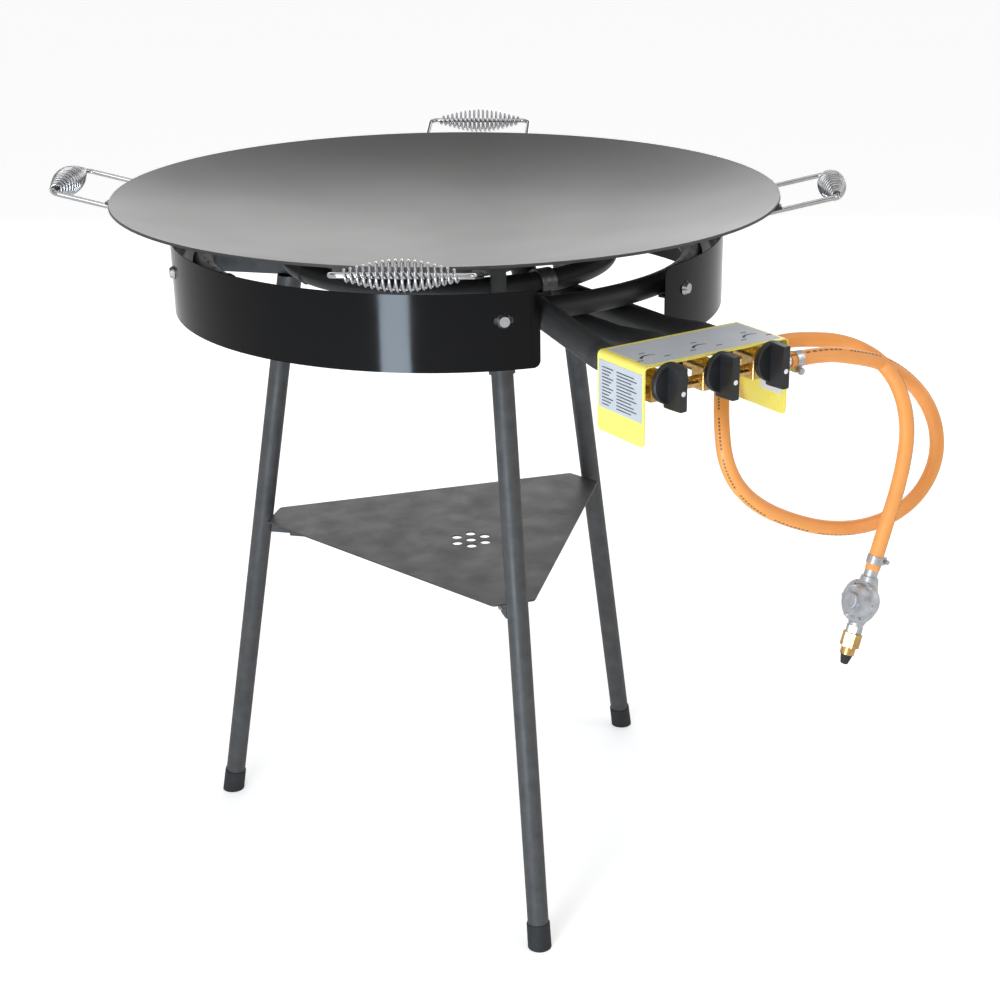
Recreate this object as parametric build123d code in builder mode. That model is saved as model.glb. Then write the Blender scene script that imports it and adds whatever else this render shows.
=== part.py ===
from build123d import *
import os
from math import asin, atan2, cos, degrees, pi, radians, sin, sqrt, tan

# Propane burner stand: a shallow steel pan on a three-ring gas burner, inside a round wind
# shield, on a tripod with a shelf.  Millimetres, +Z up.  The origin is on the floor under
# the burner's axis, and the gas controls stand towards -Y.

# ---------------------------------------------------------------- driving sizes
clearance = 0.3                 # seat between welded or resting pieces
slip = 0.05                     # radial clearance of running and press fits

rim_height = 842.0              # pan rim above the floor
pan_diameter = 780.0
pan_depth = 48.0
pan_thickness = 3.0

burner_gap = 11.5               # pan underside at its centre above the ring tops
ring_tube = 25.0
ring_wall = 1.5
outer_ring_radius = 289.0
middle_ring_radius = 188.0
inner_ring_radius = 87.0
port_diameter = 3.0
port_spacing = 25.5

feed_tube = 30.0
feed_wall = 1.5
feed_spacing = 65.0
feed_drop = 23.5                # valve axes below the ring plane
feed_clearance = 3.5            # low feed tubes under the outer ring

bar_width = 5.0
bar_height = 25.0
post_width = 17.0
post_thickness = 5.0

shield_radius = 325.3
shield_wall = 1.2
shield_height = 83.5
shield_above_rings = 30.0
shield_gap_half = 14.6          # degrees, each side of the controls
shield_bolt_front = 21.5        # degrees from the controls
shield_bolt_rear = 106.0
shield_corner = 8.0
shield_seam = 0.6

leg_diameter = 25.0
leg_wall = 1.5
leg_azimuths = {"front": -106.2, "right": 13.8, "rear": 133.8}
foot_circle_radius = 328.5
leg_top_radius = 203.0
foot_height = 30.0
foot_wall = 1.6
foot_sole = 4.0
socket_wall = 2.3
socket_length = 54.0

shelf_height = 410.3
shelf_apothem = 143.8
shelf_thickness = 2.0
shelf_leg_gap = 1.0
shelf_corner = 5.0
tab_thickness = 3.0
tab_height = 20.0
ear_height = 27.0
ear_width = 22.0
vent_hole = 13.0
vent_circle = 20.0
vent_centre = (-6.7, -43.4)

panel_back = 430.0
panel_depth = 77.0
panel_half_width = 91.5
panel_flange = 82.0
panel_sheet = 1.5
panel_bend = 5.0
panel_over_knobs = 18.5         # panel top above the knob axes

rail_diameter = 12.0
rail_wall = 1.5
rail_drop = 14.5
rail_from_axis = 485.0
spindle_diameter = 6.0
knob_diameter = 42.0
knob_push = 2.5
knob_gap = 3.5                  # knob back in front of the panel edge

hose_diameter = 16.5

# ---------------------------------------------------------------- sizes that follow
pan_radius = pan_diameter / 2
dish_radius = (pan_radius**2 + pan_depth**2) / (2 * pan_depth)
dish_centre = rim_height - pan_depth + dish_radius
under_radius = dish_radius + pan_thickness
tube_radius = ring_tube / 2
ring_height = rim_height - pan_depth - pan_thickness - burner_gap - tube_radius
ring_bottom = ring_height - tube_radius
knob_height = ring_height - feed_drop
panel_top = knob_height + panel_over_knobs
rail_height = knob_height - rail_drop
bar_top = ring_bottom - clearance
bar_bottom = bar_top - bar_height
shield_bottom = ring_height + shield_above_rings - shield_height
shield_inner = shield_radius - shield_wall
leg_slope = (foot_circle_radius - leg_top_radius) / bar_bottom
leg_lean = degrees(atan2(leg_slope, 1))
leg_radius = leg_diameter / 2


def underside(radius):
    """Height of the pan's lower face at a distance from the axis."""
    return dish_centre - sqrt(under_radius**2 - radius**2)


def leg_circle(height):
    """Distance of a leg's centre line from the axis at a height."""
    return foot_circle_radius - leg_slope * height


def upright_plane(azimuth, radius=0.0, height=0.0):
    """Plane through a radius: local x outwards, local y up, normal clockwise from above."""
    out = Vector(cos(radians(azimuth)), sin(radians(azimuth)), 0)
    normal = Vector(sin(radians(azimuth)), -cos(radians(azimuth)), 0)
    return Plane(out * radius + Vector(0, 0, height), x_dir=out, z_dir=normal)


def flat_plane(azimuth, radius=0.0, height=0.0):
    """Level plane turned to an azimuth: local x outwards."""
    out = Vector(cos(radians(azimuth)), sin(radians(azimuth)), 0)
    return Plane(out * radius + Vector(0, 0, height), x_dir=out, z_dir=(0, 0, 1))


def facing_plane(azimuth, radius, height=0.0):
    """Plane that faces outwards at a radius: local x anticlockwise, local y up."""
    out = Vector(cos(radians(azimuth)), sin(radians(azimuth)), 0)
    side = Vector(-sin(radians(azimuth)), cos(radians(azimuth)), 0)
    return Plane(out * radius + Vector(0, 0, height), x_dir=side, z_dir=out)


def leg_plane(azimuth, height):
    """Plane square to a leg's centre line, its normal up the leg."""
    out = Vector(cos(radians(azimuth)), sin(radians(azimuth)), 0)
    up = (Vector(0, 0, 1) - out * leg_slope).normalized()
    side = Vector(-sin(radians(azimuth)), cos(radians(azimuth)), 0)
    return Plane(out * leg_circle(height) + Vector(0, 0, height), x_dir=side, z_dir=up)


os.makedirs("parts", exist_ok=True)


def save(piece, name):
    piece.label = name
    export_step(piece, f"parts/{name}.step")


# ---------------------------------------------------------------- cooking pan
with BuildPart() as pan:
    with BuildSketch(Plane.XZ):
        with BuildLine():
            slope = asin(pan_radius / dish_radius)
            lip = Vector(sin(slope), -cos(slope))
            middle = Vector(sin(slope / 2), -cos(slope / 2))
            centre = Vector(0, dish_centre)
            floor_in = centre - Vector(0, dish_radius)
            floor_out = centre - Vector(0, under_radius)
            ThreePointArc(floor_in, centre + middle * dish_radius, centre + lip * dish_radius)
            Line(centre + lip * dish_radius, centre + lip * under_radius)
            ThreePointArc(centre + lip * under_radius, centre + middle * under_radius, floor_out)
            Line(floor_out, floor_in)
        make_face()
    revolve(axis=Axis.Z)
save(pan.part, "pan")

# ---------------------------------------------------------------- pan handles
handle_azimuths = (-127.0, -37.0, 53.0, 143.0)
handle_wire = 6.0
handle_half_span = 69.0
handle_reach = 62.0             # grip axis outside the rim, along the wire
handle_weld = 26.0              # length of wire under the rim
handle_bend = 10.0
handle_tab = 3.0
tab_span = 14.0
grip_length = 114.0
grip_end = 13.0
grip_belly = 33.0
grip_coil = 2.8

tab_radius = pan_radius - handle_weld / 2
rise = asin(tab_radius / under_radius)
# the dish curves up from its tangent plane by this much at the tabs' inner edges
tab_lift = under_radius - sqrt(under_radius**2 - (handle_half_span - tab_span / 2) ** 2)


def handle_plane(azimuth):
    """Plane of a handle's tabs under the pan near the rim: local x outwards and up."""
    out = Vector(cos(radians(azimuth)), sin(radians(azimuth)), 0)
    along = out * cos(rise) + Vector(0, 0, sin(rise))
    normal = Vector(0, 0, cos(rise)) - out * sin(rise)
    foot = out * tab_radius + Vector(0, 0, underside(tab_radius)) + normal * (tab_lift - clearance)
    return Plane(foot, x_dir=along, z_dir=normal)


wire_level = -handle_tab - handle_wire / 2
grip_at = handle_weld / 2 + handle_reach
with BuildPart() as handle_tabs:
    for azimuth in handle_azimuths:
        with BuildSketch(handle_plane(azimuth)):
            with Locations((0, handle_half_span), (0, -handle_half_span)):
                Rectangle(handle_weld - 4, tab_span)
        extrude(amount=-handle_tab)
save(handle_tabs.part, "handle_tabs")

for number, azimuth in enumerate(handle_azimuths, start=1):
    level = handle_plane(azimuth).offset(wire_level)
    wire_start = -handle_weld / 2
    corners = [
        level.from_local_coords(Vector(wire_start, handle_half_span)),
        level.from_local_coords(Vector(grip_at, handle_half_span)),
        level.from_local_coords(Vector(grip_at, -handle_half_span)),
        level.from_local_coords(Vector(wire_start, -handle_half_span)),
    ]
    with BuildPart() as wire:
        with BuildLine():
            bow = FilletPolyline(*corners, radius=handle_bend)
        with BuildSketch(bow ^ 0):
            Circle(handle_wire / 2)
        sweep()
    save(wire.part, f"handle_wire_{number}")

    grip_plane = Plane(
        level.from_local_coords(Vector(grip_at, 0)), x_dir=level.y_dir, z_dir=level.z_dir
    )
    with BuildPart() as grip:
        with BuildSketch(grip_plane):
            with BuildLine():
                half = grip_length / 2
                small = grip_end / 2
                big = grip_belly / 2
                bore = handle_wire / 2 + slip
                skin = max(small - grip_coil, bore)
                ThreePointArc((-half, small), (0, big), (half, small))
                Line((half, small), (half, skin))
                ThreePointArc((half, skin), (0, big - grip_coil), (-half, skin))
                Line((-half, skin), (-half, small))
            make_face()
        revolve(axis=Axis(grip_plane.origin, grip_plane.x_dir))
    save(grip.part, f"handle_grip_{number}")

# ---------------------------------------------------------------- burner rings
for name, ring_radius in (
    ("outer_ring", outer_ring_radius),
    ("middle_ring", middle_ring_radius),
    ("inner_ring", inner_ring_radius),
):
    # each ring is bent as two half rings, butted together and welded
    port_count = round(pi * ring_radius / port_spacing)
    halves = []
    for azimuth in (0, 180):
        with BuildPart() as half:
            with BuildSketch(upright_plane(azimuth, ring_radius, ring_height)):
                Circle(tube_radius)
                Circle(tube_radius - ring_wall, mode=Mode.SUBTRACT)
            revolve(axis=Axis.Z, revolution_arc=180)
            first_port = azimuth + 90 / port_count
            with Locations((0, 0, ring_height + tube_radius - ring_wall)):
                with PolarLocations(ring_radius, port_count, first_port, 180):
                    Cylinder(port_diameter / 2, 4 * ring_wall, mode=Mode.SUBTRACT)
        halves.append(half.part)
    save(Compound(children=halves), name)

# ---------------------------------------------------------------- feed tubes
feed_radius = feed_tube / 2
feed_start = panel_back + 20.0
feed_level_end = 400.0
low_height = ring_bottom - feed_radius - feed_clearance
cradle = 8.0                    # a feed tube stops this far below its ring's centre


def ring_front(ring_radius, side):
    """Distance from the X axis to a ring's centre line at a sideways offset."""
    return sqrt(ring_radius**2 - side**2)


outer_entry = ring_front(outer_ring_radius, feed_spacing)
with BuildPart() as feed_outer:
    with BuildLine():
        run = FilletPolyline(
            (-feed_spacing, -feed_start, knob_height),
            (-feed_spacing, -feed_level_end, knob_height),
            (-feed_spacing, -outer_entry, ring_height),
            radius=60,
        )
    with BuildSketch(run ^ 0):
        Circle(feed_radius)
        Circle(feed_radius - feed_wall, mode=Mode.SUBTRACT)
    sweep()
    with Locations((0, 0, ring_height)):
        Torus(outer_ring_radius, tube_radius + clearance, mode=Mode.SUBTRACT)
save(feed_outer.part, "feed_tube_outer")

for name, side, ring_radius in (
    ("feed_tube_middle", 0.0, middle_ring_radius),
    ("feed_tube_inner", feed_spacing, inner_ring_radius),
):
    entry = ring_front(ring_radius, side)
    with BuildPart() as feed:
        with BuildLine():
            run = FilletPolyline(
                (side, -feed_start, knob_height),
                (side, -feed_level_end, knob_height),
                (side, -outer_ring_radius - 50, low_height),
                (side, -entry, low_height),
                (side, -entry, ring_height - cradle),
                radius=[60, 60, (ring_height - cradle - low_height) * 0.95],
            )
        with BuildSketch(run ^ 0):
            Circle(feed_radius)
            Circle(feed_radius - feed_wall, mode=Mode.SUBTRACT)
        sweep()
        with Locations((0, 0, ring_height)):
            Torus(ring_radius, tube_radius + clearance, mode=Mode.SUBTRACT)
    save(feed.part, name)

# ---------------------------------------------------------------- strap over the middle ring's joint
strap_azimuth = -88.0
strap_width = 20.0
strap_sheet = 2.5
strap_inner = tube_radius + clearance
with BuildPart() as ring_strap:
    with BuildSketch(upright_plane(strap_azimuth, middle_ring_radius, ring_height)):
        with BuildLine():
            outside = strap_inner + strap_sheet
            Line((outside, -cradle + 1), (outside, 0))
            CenterArc((0, 0), outside, 0, 180)
            Line((-outside, 0), (-strap_inner, 0))
            CenterArc((0, 0), strap_inner, 0, 180)
            Line((strap_inner, 0), (strap_inner, -cradle + 1))
            Line((strap_inner, -cradle + 1), (outside, -cradle + 1))
        make_face()
    extrude(amount=strap_width / 2, both=True)
save(ring_strap.part, "ring_strap")

# ---------------------------------------------------------------- radial bars, sockets, posts
bar_start = inner_ring_radius - tube_radius
bar_end = outer_ring_radius + 7.0
with BuildPart() as support_bars:
    for azimuth in leg_azimuths.values():
        with BuildSketch(flat_plane(azimuth, (bar_start + bar_end) / 2, bar_bottom)):
            Rectangle(bar_end - bar_start, bar_width)
        extrude(amount=bar_height)
save(support_bars.part, "support_bars")

post_radius = middle_ring_radius + tube_radius + clearance + post_thickness / 2
with BuildPart() as pan_posts:
    for azimuth in leg_azimuths.values():
        with BuildSketch(upright_plane(azimuth)):
            with BuildLine():
                inner = post_radius - post_thickness / 2
                outer = post_radius + post_thickness / 2
                low = bar_top
                Polyline(
                    (inner, low),
                    (outer, low),
                    (outer, underside(outer) - clearance),
                    (inner, underside(inner) - clearance),
                    close=True,
                )
            make_face()
        extrude(amount=post_width / 2, both=True)
save(pan_posts.part, "pan_posts")

socket_bore = leg_radius + slip
socket_radius = socket_bore + socket_wall
socket_low = bar_bottom - socket_length
with BuildPart() as leg_sockets:
    for azimuth in leg_azimuths.values():
        with BuildSketch(leg_plane(azimuth, socket_low)):
            Circle(socket_radius)
            Circle(socket_bore, mode=Mode.SUBTRACT)
        extrude(amount=socket_length + 20)
    split(bisect_by=Plane.XY.offset(bar_bottom - clearance), keep=Keep.BOTTOM)
    for azimuth in leg_azimuths.values():
        lock_plane = leg_plane(azimuth, socket_low + socket_length / 2)
        with BuildSketch(Plane(lock_plane.origin, x_dir=lock_plane.x_dir, z_dir=-lock_plane.y_dir)):
            Circle(4 + slip)
        extrude(amount=socket_radius + 5, mode=Mode.SUBTRACT)
save(leg_sockets.part, "leg_sockets")

with BuildPart() as leg_lock_screws:
    for azimuth in leg_azimuths.values():
        lock_plane = leg_plane(azimuth, socket_low + socket_length / 2)
        outwards = Plane(lock_plane.origin, x_dir=lock_plane.x_dir, z_dir=-lock_plane.y_dir)
        with BuildSketch(outwards.offset(leg_radius + slip)):
            Circle(4)
        extrude(amount=socket_wall + 6)
        with BuildSketch(outwards.offset(leg_radius + slip + socket_wall + 6)):
            RegularPolygon(7.5, 6)
        extrude(amount=5.5)
save(leg_lock_screws.part, "leg_lock_screws")

# ---------------------------------------------------------------- legs and feet
leg_bottom = foot_sole + leg_radius * sin(radians(leg_lean))
leg_top = bar_bottom - clearance - leg_radius * sin(radians(leg_lean)) - 2
for name, azimuth in leg_azimuths.items():
    length = (leg_top - leg_bottom) / cos(radians(leg_lean))
    with BuildPart() as leg:
        with BuildSketch(leg_plane(azimuth, leg_bottom)):
            Circle(leg_radius)
            Circle(leg_radius - leg_wall, mode=Mode.SUBTRACT)
        extrude(amount=length)
    save(leg.part, f"leg_{name}")

    with BuildPart() as foot:
        with BuildSketch(leg_plane(azimuth, 0.0)):
            Circle(leg_radius + slip + foot_wall)
        extrude(amount=foot_height, taper=0.6)
        with BuildSketch(leg_plane(azimuth, 0.0)):
            Circle(leg_radius + slip + foot_wall)
        extrude(amount=-10)
        with BuildSketch(leg_plane(azimuth, leg_bottom)):
            Circle(leg_radius + slip)
        extrude(amount=foot_height, mode=Mode.SUBTRACT)
        split(bisect_by=Plane.XY, keep=Keep.TOP)
    save(foot.part, f"foot_{name}")

# ---------------------------------------------------------------- wind shield
shield_sides = {
    "shield_left": (90.0, 270.0 - shield_gap_half),
    "shield_right": (-90.0 + shield_gap_half, 90.0),
}
bolt_azimuths = (
    -90.0 - shield_bolt_front,
    -90.0 + shield_bolt_front,
    -90.0 - shield_bolt_rear,
    -90.0 + shield_bolt_rear,
)
slot_length = 22.0
bolt_diameter = 8.0
seam_angle = degrees(shield_seam / 2 / shield_radius)
seam_rivet = 4.0
seam_rivet_angle = degrees(14.0 / shield_radius)
for name, (start, end) in shield_sides.items():
    first = start + (seam_angle if start == 90.0 else 0)
    last = end - (seam_angle if end == 90.0 else 0)
    with BuildPart() as shield:
        with BuildSketch(Plane.XY.offset(shield_bottom)):
            with BuildLine():
                outside = CenterArc((0, 0), shield_radius, first, last - first)
                inside = CenterArc((0, 0), shield_inner, first, last - first)
                Line(outside @ 0, inside @ 0)
                Line(outside @ 1, inside @ 1)
            make_face()
        extrude(amount=shield_height)
        corners = [
            edge
            for edge in shield.edges()
            if edge.geom_type == GeomType.LINE and abs(edge.length - shield_wall) < 0.01
        ]
        fillet(corners, radius=shield_corner)
        for azimuth in bolt_azimuths:
            with BuildSketch(facing_plane(azimuth, shield_inner - 5, ring_height)):
                SlotOverall(slot_length, bolt_diameter + 0.5)
            extrude(amount=10, mode=Mode.SUBTRACT)
        for side in (-1, 1):
            for level in (-20, 20):
                seam = facing_plane(90 + side * seam_rivet_angle, shield_inner - 5, ring_height + level)
                with BuildSketch(seam):
                    Circle(seam_rivet / 2 + slip)
                extrude(amount=10, mode=Mode.SUBTRACT)
    save(shield.part, name)

seam_plate_half = degrees(25.0 / shield_radius)
plate_outer = shield_inner - slip
plate_inner = plate_outer - 2.0
with BuildPart() as shield_seam_plate:
    with BuildSketch(Plane.XY.offset(ring_height - 35)):
        with BuildLine():
            outside = CenterArc((0, 0), plate_outer, 90 - seam_plate_half, 2 * seam_plate_half)
            inside = CenterArc((0, 0), plate_inner, 90 - seam_plate_half, 2 * seam_plate_half)
            Line(outside @ 0, inside @ 0)
            Line(outside @ 1, inside @ 1)
        make_face()
    extrude(amount=60)
    for side in (-1, 1):
        for level in (-20, 20):
            seam = facing_plane(90 + side * seam_rivet_angle, shield_inner - 5, ring_height + level)
            with BuildSketch(seam):
                Circle(seam_rivet / 2 + slip)
            extrude(amount=10, mode=Mode.SUBTRACT)
save(shield_seam_plate.part, "shield_seam_plate")

with BuildPart() as shield_rivets:
    for side in (-1, 1):
        for level in (-20, 20):
            seam = facing_plane(90 + side * seam_rivet_angle, plate_inner - 1.5, ring_height + level)
            with BuildSketch(seam):
                Circle(seam_rivet / 2)
            extrude(amount=shield_radius - plate_inner + 1.5)
            with BuildSketch(seam.offset(shield_radius - plate_inner + 1.5 + slip)):
                Circle(seam_rivet)
            extrude(amount=1.5, taper=30)
            with BuildSketch(seam.offset(shield_radius - plate_inner + 1.5)):
                Circle(seam_rivet / 2)
            extrude(amount=0.5)
save(shield_rivets.part, "shield_rivets")

bracket_sheet = 2.5
bracket_width = 20.0
bracket_drop = 12.5
bracket_face = shield_inner - slip - 0.2
bracket_root = outer_ring_radius + sqrt(tube_radius**2 - (bracket_drop - bracket_sheet) ** 2) + clearance
with BuildPart() as shield_brackets:
    for azimuth in bolt_azimuths:
        with BuildSketch(upright_plane(azimuth, 0, ring_height)):
            with BuildLine():
                Polyline(
                    (bracket_root, -bracket_drop),
                    (bracket_face, -bracket_drop),
                    (bracket_face, bracket_drop),
                    (bracket_face - bracket_sheet, bracket_drop),
                    (bracket_face - bracket_sheet, -bracket_drop + bracket_sheet),
                    (bracket_root, -bracket_drop + bracket_sheet),
                    close=True,
                )
            make_face()
        extrude(amount=bracket_width / 2, both=True)
        with BuildSketch(facing_plane(azimuth, bracket_face - 8, ring_height)):
            Circle(bolt_diameter / 2 + slip)
        extrude(amount=10, mode=Mode.SUBTRACT)
save(shield_brackets.part, "shield_brackets")

nut_height = 6.5
bolt_head = 16.0
bolt_head_height = 4.6
thread_end = bracket_face - bracket_sheet - nut_height - 3
with BuildPart() as shield_bolts:
    for azimuth in bolt_azimuths:
        with BuildSketch(facing_plane(azimuth, thread_end, ring_height)):
            Circle(bolt_diameter / 2)
        extrude(amount=shield_radius + 0.5 - thread_end)
        head_seat = facing_plane(azimuth, shield_radius + 0.4, ring_height)
        with BuildSketch(head_seat):
            Circle(bolt_head / 2)
        extrude(amount=bolt_head_height, taper=28)
        # the nut on the same screw, inside the bracket
        nut_seat = bracket_face - bracket_sheet - nut_height - slip
        with BuildSketch(facing_plane(azimuth, nut_seat, ring_height)):
            RegularPolygon(7.5, 6)
            Circle(bolt_diameter / 2 + slip, mode=Mode.SUBTRACT)
        extrude(amount=nut_height)
save(shield_bolts.part, "shield_bolts")

# ---------------------------------------------------------------- shelf
shelf_low = shelf_height - shelf_thickness
corner_reach = leg_circle(shelf_height) - leg_radius / cos(radians(leg_lean)) - shelf_leg_gap
tab_outer = leg_circle(shelf_low - tab_height / 2) - leg_radius / cos(radians(leg_lean)) - 1.5
tab_length = 40.0
tab_top = shelf_low - 2.0
tab_inner = tab_outer - tab_length
screw_radius = tab_inner + 8.0
screw_height = tab_top - tab_height / 2 - 2
ear_offset = tab_thickness / 2 + clearance
ear_sheet = shelf_thickness
with BuildPart() as shelf:
    with BuildSketch(Plane.XY.offset(shelf_low)):
        RegularPolygon(shelf_apothem, 3, major_radius=False, rotation=leg_azimuths["right"])
        for azimuth in leg_azimuths.values():
            cut = flat_plane(azimuth)
            centre = cut.x_dir * (corner_reach + 100)
            with Locations(Location((centre.X, centre.Y, 0), (0, 0, azimuth))):
                Rectangle(200, 400, mode=Mode.SUBTRACT)
        fillet(vertices(), radius=shelf_corner)
        with Locations(vent_centre):
            Circle(vent_hole / 2, mode=Mode.SUBTRACT)
            with PolarLocations(vent_circle, 6):
                Circle(vent_hole / 2, mode=Mode.SUBTRACT)
    extrude(amount=shelf_thickness)
    for azimuth in leg_azimuths.values():
        with BuildSketch(upright_plane(azimuth).offset(ear_offset)):
            with Locations((screw_radius, shelf_low + 0.5 - ear_height / 2)):
                RectangleRounded(ear_width, ear_height + 1, 1.5)
        extrude(amount=ear_sheet)
        with BuildSketch(upright_plane(azimuth)):
            with Locations((screw_radius, screw_height)):
                Circle(3 + slip)
        extrude(amount=ear_offset + ear_sheet + 5, mode=Mode.SUBTRACT)
save(shelf.part, "shelf")

with BuildPart() as shelf_tabs:
    for azimuth in leg_azimuths.values():
        low = tab_top - tab_height
        with BuildSketch(upright_plane(azimuth)):
            with BuildLine():
                Polyline(
                    (tab_inner, low),
                    (leg_circle(low) - leg_radius / cos(radians(leg_lean)) - clearance, low),
                    (leg_circle(tab_top) - leg_radius / cos(radians(leg_lean)) - clearance, tab_top),
                    (tab_inner, tab_top),
                    close=True,
                )
            make_face()
            with Locations((screw_radius, screw_height)):
                Circle(3 + slip, mode=Mode.SUBTRACT)
        extrude(amount=tab_thickness / 2, both=True)
save(shelf_tabs.part, "shelf_tabs")

screw_head = 10.0
screw_head_height = 5.5
with BuildPart() as shelf_screws:
    for azimuth in leg_azimuths.values():
        face = upright_plane(azimuth)
        shank = face.offset(-tab_thickness / 2 - 7)
        with BuildSketch(shank):
            with Locations((screw_radius, screw_height)):
                Circle(3)
        extrude(amount=tab_thickness / 2 + 7 + ear_offset + ear_sheet + 0.5)
        with BuildSketch(face.offset(ear_offset + ear_sheet + slip)):
            with Locations((screw_radius, screw_height)):
                Circle(screw_head / 2)
        extrude(amount=screw_head_height)
        with BuildSketch(face.offset(ear_offset + ear_sheet + slip + screw_head_height - 3)):
            with Locations((screw_radius, screw_height)):
                RegularPolygon(2.9, 6)
        extrude(amount=4, mode=Mode.SUBTRACT)
        # the nut behind the tab
        with BuildSketch(upright_plane(azimuth).offset(-tab_thickness / 2 - slip)):
            with Locations((screw_radius, screw_height)):
                RegularPolygon(5.75, 6)
                Circle(3 + slip, mode=Mode.SUBTRACT)
        extrude(amount=-5)
save(shelf_screws.part, "shelf_screws")

# ---------------------------------------------------------------- control panel
panel_front = panel_back + panel_depth
panel_bottom = panel_top - panel_flange
inlet_hole = 17.0
with BuildPart() as control_panel:
    with BuildSketch(Plane.XZ.offset(panel_back)):
        with BuildLine():
            wide = panel_half_width
            narrow = panel_half_width - panel_sheet
            ceiling = panel_top - panel_sheet
            FilletPolyline(
                (-wide, panel_bottom), (-wide, panel_top), (wide, panel_top), (wide, panel_bottom),
                radius=panel_bend,
            )
            Line((wide, panel_bottom), (narrow, panel_bottom))
            FilletPolyline(
                (narrow, panel_bottom), (narrow, ceiling), (-narrow, ceiling), (-narrow, panel_bottom),
                radius=panel_bend - panel_sheet,
            )
            Line((-narrow, panel_bottom), (-wide, panel_bottom))
        make_face()
    extrude(amount=panel_depth)
    flange_corners = [
        edge
        for edge in control_panel.edges()
        if edge.center().Z < panel_bottom + 1 and abs(edge.length - panel_sheet) < 0.01
    ]
    fillet(flange_corners, radius=6)
    with BuildSketch(Plane.YZ.offset(panel_half_width - 10)):
        with Locations((-rail_from_axis, rail_height)):
            Circle(inlet_hole / 2)
    extrude(amount=20, mode=Mode.SUBTRACT)
save(control_panel.part, "control_panel")

crossbar_low = knob_height + feed_radius
with BuildPart() as panel_crossbar:
    crossbar_height = panel_top - panel_sheet - crossbar_low
    with Locations((0, -panel_back - 10, crossbar_low + crossbar_height / 2)):
        Box(2 * feed_spacing + 30, 14, crossbar_height)
save(panel_crossbar.part, "panel_crossbar")

label_sheet = 0.5
with BuildPart() as top_label:
    with Locations((0, -panel_back - panel_depth / 2, panel_top + label_sheet / 2)):
        Box(2 * panel_half_width - 15, panel_depth - 11, label_sheet)
save(top_label.part, "top_label")

with BuildPart() as side_label:
    side_label_height = panel_flange * 0.6
    side_label_z = panel_top - panel_bend - 3 - side_label_height / 2
    with Locations((-panel_half_width - label_sheet / 2, -panel_back - panel_depth / 2, side_label_z)):
        Box(label_sheet, panel_depth - 6, side_label_height)
save(side_label.part, "side_label")

# ---------------------------------------------------------------- gas rail and valves
rail_left = -feed_spacing - 18
rail_right = panel_half_width + 4
with BuildPart() as gas_rail:
    with BuildSketch(Plane.YZ.offset(rail_left)):
        with Locations((-rail_from_axis, rail_height)):
            Circle(rail_diameter / 2)
    extrude(amount=rail_right - rail_left)
    with BuildSketch(Plane.YZ.offset(rail_left + 4)):
        with Locations((-rail_from_axis, rail_height)):
            Circle(rail_diameter / 2 - rail_wall)
    extrude(amount=rail_right - rail_left, mode=Mode.SUBTRACT)
save(gas_rail.part, "gas_rail")

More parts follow.
